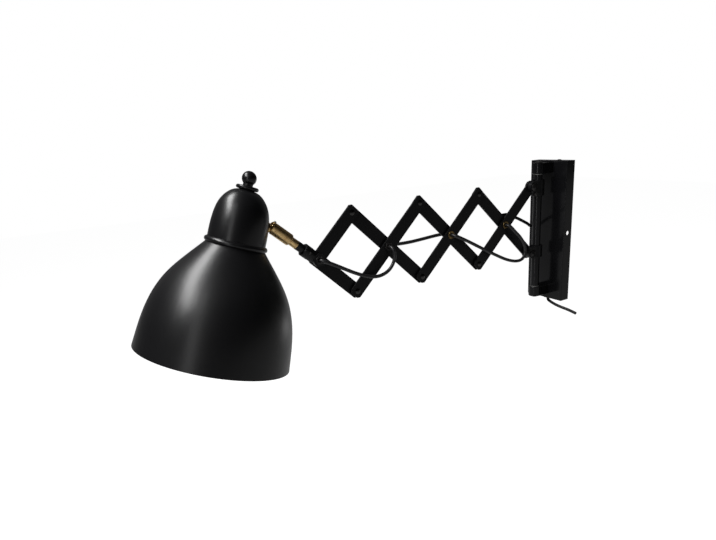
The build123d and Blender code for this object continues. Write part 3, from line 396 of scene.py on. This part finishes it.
def arm_flex(material):
    """The flex in its stretches, each a fixed mesh tube that stands in for its imported node."""
    near, far = FLEX_X, BACK_X
    first = from_crossings(0, 1, [
        (0, 0, 0, 0), (0.013, 0, 0, 0), (0.013, 10.5, -4.5, 0), (0.012, 26, -13, 0),
        (near, 45, -23.5, 0), (near, 63, -31, 0), (near, 78, -33.5, 0), (near, 92, -29.5, 0),
        (near, -0.5, -21, 1), (near, 3, -10.5, 1), (near, 0, 0, 1), (0, 0, 0, 1)])
    second = from_crossings(1, 2, [
        (0, 0, 0, 0), (far, 0, 0, 0), (far, 12.5, -1.5, 0), (far, 38, -2.5, 0), (far, -36, -1, 1),
        (far, -12.5, 0.5, 1), (far, 0, 0, 1), (0, 0, 0, 1)])
    third = from_crossings(2, 3, [
        (0, 0, 0, 0), (near, 0, 0, 0), (near, 10.5, -5, 0), (near, 27.5, -13.7, 0), (near, 50, -26, 0),
        (near, 74, -38.5, 0), (near, 95, -49, 0), (near, 14, -55, 1), (near, 28, -54, 1),
        (near, 34, -43.5, 1), (near, 30.5, -31, 1), (near, 21.5, -19.5, 1), (near, 10.5, -10, 1),
        (near, 0, 0, 1), (0, 0, 0, 1)])
    arch_near = from_crossings(3, 3, [
        (0, 0, 0, 0), (far - 0.001, 0, 0, 0), (far - 0.0015, 10, 5, 0), (far - 0.002, 23, 7.3, 0),
        (far - 0.0035, 36, 4.8, 0)])
    arch_far = from_crossings(3, 3, [(far - 0.0075, 57.5, -4.8, 0), (far - 0.011, 70, -10, 0)])
    join = (arch_near[-1] + arch_far[0]) / 2
    fourth = [*arch_near, join]
    fifth = [join, *arch_far,
             Vector((BUSH_X, -BOX_DEPTH - 0.011, BUSH_Z)), Vector((BUSH_X, LEAD_Y + 0.0005, BUSH_Z)),
             Vector((BUSH_X + 0.0005, LEAD_Y, BUSH_Z - 0.014)),
             Vector((-0.0195, LEAD_Y, TERMINAL_Z + 0.062)), Vector((-0.012, LEAD_Y, TERMINAL_Z + 0.042)),
             Vector((-0.002, LEAD_Y, TERMINAL_Z + 0.027)), Vector((0, LEAD_Y, TERMINAL_Z + 0.015)),
             Vector((0, LEAD_Y, TERMINAL_Z + 0.003))]
    stretches = [
        ("flex_1", first, "front_half_bar", "rear_bar_1", crossing(0), crossing(1)),
        ("flex_2", second, "front_bar_1", "rear_bar_2", crossing(1), crossing(2)),
        ("flex_3", third, "front_bar_2", "rear_bar_3", crossing(2), crossing(3)),
        ("flex_4", fourth, "front_bar_3", "upper_collar", crossing(3), join),
        ("flex_5", fifth, "upper_collar", "wall_mount", join, Vector((BUSH_X, BUSH_FACE_Y, BUSH_Z))),
    ]
    for name, points, start_body, end_body, start, end in stretches:
        tube = flex_stretch(name + "_sheath", points, material)
        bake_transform(tube)
        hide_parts(name)


def head_flex(material):
    """The flex behind the fork and up the stem."""

    def on_head_line(x, place):
        return crossing(0) + HEAD_DIRECTION * place + Vector((x, 0, 0))

    route = [on_head_line(0, 0), on_head_line(-FLEX_LOOP, 0), on_head_line(-FLEX_LOOP, FLEX_OUTLET),
             on_head_line(0, FLEX_OUTLET), on_head_line(0, BALL_PLACE - BALL_DIAMETER / 2 - 0.001)]
    tube = flex_stretch("flex_head_sheath", route, material)
    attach(tube, "head")
    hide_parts("flex_head")


def supply_lead(material):
    """The short lead that leaves under the box, its end in view."""
    under = -BOX_HEIGHT / 2
    route = [(0, LEAD_Y, TERMINAL_Z - 0.003), (0, LEAD_Y, under - 0.0052),
             (0.0065, LEAD_Y, under - 0.0082),
             (0.017, LEAD_Y - 0.0004, under - 0.0108), (0.03, LEAD_Y, under - 0.0128),
             (0.0435, LEAD_Y + 0.0004, under - 0.014), (0.0565, LEAD_Y, under - 0.0162)]
    lead = flex_curve("supply_lead_sheath", route, FLEX_DIAMETER / 2)
    lead.data.materials.append(material)
    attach(lead, "wall_mount")
    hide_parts("supply_lead")


# ---------------------------------------------------------------- lamp holder

THREAD_PITCH = 0.0036
THREAD_CREST = 0.01312
THREAD_ROOT = 0.01232
THREAD_LENGTH = 0.024
THREAD_SHEET = 0.0003
THREAD_TOP = 0.0016   # above the neck's centre, along the shade's axis


def screw_shell(mesh):
    """Rolled thread of the lamp holder's screw shell, a thin sheet with two faces."""
    around, along = 48, 84

    def sheet(offset):
        rows = []
        for step in range(along + 1):
            height = THREAD_LENGTH * step / along
            row = []
            for index in range(around):
                turn = 2 * math.pi * index / around
                wave = 0.5 + 0.5 * math.cos(2 * math.pi * height / THREAD_PITCH - turn)
                radius = THREAD_ROOT + (THREAD_CREST - THREAD_ROOT) * wave + offset
                row.append(mesh.verts.new((radius * math.cos(turn), radius * math.sin(turn), -height)))
            rows.append(row)
        return rows

    outer, inner = sheet(0), sheet(-THREAD_SHEET)
    for rows, flip in ((outer, True), (inner, False)):
        for low, high in zip(rows, rows[1:]):
            for index in range(around):
                after = (index + 1) % around
                corners = [low[index], low[after], high[after], high[index]]
                mesh.faces.new(corners[::-1] if flip else corners)
    for end in (0, -1):
        for index in range(around):
            after = (index + 1) % around
            corners = [outer[end][index], outer[end][after], inner[end][after], inner[end][index]]
            mesh.faces.new(corners if end == 0 else corners[::-1])


def contact_tongue(mesh):
    """A sprung strip that bears on the lamp's tip."""
    width, thickness = 0.0045, 0.0005
    places = [(-0.0085, 0.0), (-0.0055, -0.0012), (-0.0015, -0.0034), (0.0015, -0.0040),
              (0.0040, -0.0034)]
    rows = []
    for x, z in places:
        rows.append([mesh.verts.new((x, side * width / 2, z + lift))
                     for side, lift in ((-1, 0), (1, 0), (1, thickness), (-1, thickness))])
    for low, high in zip(rows, rows[1:]):
        for index in range(4):
            after = (index + 1) % 4
            mesh.faces.new([low[index], low[after], high[after], high[index]])
    mesh.faces.new(rows[0][::-1])
    mesh.faces.new(rows[-1])


def lamp_holder(material):
    """Screw shell and contact, in line with the shade."""
    axes = Matrix.Rotation(-SHADE_TILT, 4, "X")
    for name, shape in (("holder_screw_shell", screw_shell), ("holder_contact", contact_tongue)):
        mesh = bmesh.new()
        shape(mesh)
        mesh.normal_update()
        bmesh.ops.recalc_face_normals(mesh, faces=mesh.faces)
        data = bpy.data.meshes.new(name)
        mesh.to_mesh(data)
        mesh.free()
        data.materials.append(material)
        data.polygons.foreach_set("use_smooth", [True] * len(data.polygons))
        piece = bpy.data.objects.new(name, data)
        bpy.context.scene.collection.objects.link(piece)
        piece.matrix_world = Matrix.Translation(NECK_CENTRE + SHADE_AXIS * THREAD_TOP) @ axes
        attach(piece, "lampshade")


# ---------------------------------------------------------------- studio

def add_camera():
    """The photograph's camera, with its off-centre picture as a small shift."""
    az, el, roll = CAMERA_AZIMUTH, CAMERA_ELEVATION, CAMERA_ROLL
    forward = Vector((-math.sin(az) * math.cos(el), math.cos(az) * math.cos(el), -math.sin(el)))
    level = Vector((math.cos(az), math.sin(az), 0))
    above = level.cross(forward)
    right = level * math.cos(roll) + above * math.sin(roll)
    up = above * math.cos(roll) - level * math.sin(roll)
    data = bpy.data.cameras.new("camera")
    data.sensor_width = SENSOR_MM
    data.lens = FOCAL_PIXELS * SENSOR_MM / PHOTO_WIDTH
    data.shift_x = (PHOTO_WIDTH / 2 - CENTRE_PIXEL[0]) / PHOTO_WIDTH
    data.shift_y = (CENTRE_PIXEL[1] - PHOTO_HEIGHT / 2) / PHOTO_WIDTH
    data.clip_start = 0.01
    camera = bpy.data.objects.new("camera", data)
    axes = Matrix((right, up, -forward)).transposed().to_4x4()
    camera.matrix_world = Matrix.Translation(CAMERA_PLACE) @ axes
    bpy.context.scene.collection.objects.link(camera)
    bpy.context.scene.camera = camera
    return forward


def softbox(name, place, target, size, power, long_side=(0, 0, 1)):
    """A rectangular lamp that faces a point, its first size along the long side's direction."""
    data = bpy.data.lights.new(name, "AREA")
    data.shape = "RECTANGLE"
    data.size, data.size_y = size
    data.energy = power
    lamp = bpy.data.objects.new(name, data)
    back = (Vector(place) - Vector(target)).normalized()
    along = (Vector(long_side) - back * back.dot(Vector(long_side))).normalized()
    axes = Matrix((along, back.cross(along), back)).transposed().to_4x4()
    lamp.matrix_world = Matrix.Translation(place) @ axes
    bpy.context.scene.collection.objects.link(lamp)


AMBIENT = 0.22
ROOM_GLOSSY, BACKDROP_GLOSSY = 0.012, 0.10


def add_world(forward):
    """White where the camera looks, and a dim backdrop behind the lamp for what is glossy."""
    world = bpy.data.worlds.new("studio")
    bpy.context.scene.world = world
    world.use_nodes = True
    net = Net(world.node_tree)
    direction = net.add("ShaderNodeTexCoord", output="Generated")
    behind = net.along((forward.x, forward.y, 0), direction).steps(0.15, 0.75)
    ray = {key: net.add("ShaderNodeLightPath", output=key)
           for key in ("Is Camera Ray", "Is Glossy Ray", "Is Transmission Ray")}
    seen = ray["Is Camera Ray"] + ray["Is Transmission Ray"]
    strength = AMBIENT * (1 - seen) * (1 - ray["Is Glossy Ray"]) + seen
    strength = strength + ray["Is Glossy Ray"] * (1 - seen) * (ROOM_GLOSSY + behind * BACKDROP_GLOSSY)
    shader = net.add("ShaderNodeBackground", {}, {"Color": (1, 1, 1, 1), "Strength": strength})
    net.add("ShaderNodeOutputWorld", {}, {"Surface": shader})


FLOOR_Z = -0.62
FLOOR_HALF = 6
FLOOR_GLOW = 0.92          # as the camera sees it: nearly white
FLOOR_GLOW_GLOSSY = 0.30   # as metal and paint reflect it


def add_floor():
    """Pale floor far below the lamp, white in the picture but for the lamp's soft shadow."""
    mesh = bpy.data.meshes.new("floor")
    half = FLOOR_HALF
    mesh.from_pydata([(-half, -half, 0), (half, -half, 0), (half, half, 0), (-half, half, 0)], [],
                     [(0, 1, 2, 3)])
    floor = bpy.data.objects.new("floor", mesh)
    floor.location.z = FLOOR_Z
    bpy.context.scene.collection.objects.link(floor)
    material, net = new_material("floor")
    paint = net.add("ShaderNodeBsdfDiffuse", {}, {"Color": (0.30, 0.30, 0.30, 1)})
    ray = {key: net.add("ShaderNodeLightPath", output=key)
           for key in ("Is Camera Ray", "Is Glossy Ray", "Is Transmission Ray")}
    seen = ray["Is Camera Ray"] + ray["Is Transmission Ray"]
    strength = seen * FLOOR_GLOW + ray["Is Glossy Ray"] * (1 - seen) * FLOOR_GLOW_GLOSSY
    glow = net.add("ShaderNodeEmission", {}, {"Color": (1, 1, 1, 1), "Strength": strength})
    shader = net.add("ShaderNodeAddShader", {}, {0: paint, 1: glow})
    net.add("ShaderNodeOutputMaterial", {}, {"Surface": shader})
    mesh.materials.append(material)


def add_lamps():
    """A long softbox over the shade, a strip before the wall box and a low lamp on the wall's side."""
    shade_middle = NECK_CENTRE - SHADE_AXIS * 0.04
    softbox("overhead", shade_middle + Vector((-0.16, -0.66, 1.15)), shade_middle, (1.4, 0.36), 46,
            (-0.757, 0.576, 0.308))
    softbox("box_strip", (0.55, -1.15, 0.35), (0, -0.05, 0), (1.6, 0.12), 3)
    softbox("wall_side", (-0.35, 1.1, -0.75), (0, -0.5, 0), (0.7, 0.7), 3)


sheath = flex_sheath()
view_forward = add_camera()
supply_lead(sheath)
arm_flex(sheath)
head_flex(sheath)
finish_nodes()
lamp_holder(plated_steel("screw_shell", (0.66, 0.52, 0.30), 0.24, (0.45, 0.33, 0.16)))
add_world(view_forward)
add_floor()
add_lamps()
bpy.context.scene.view_settings.view_transform = "Standard"
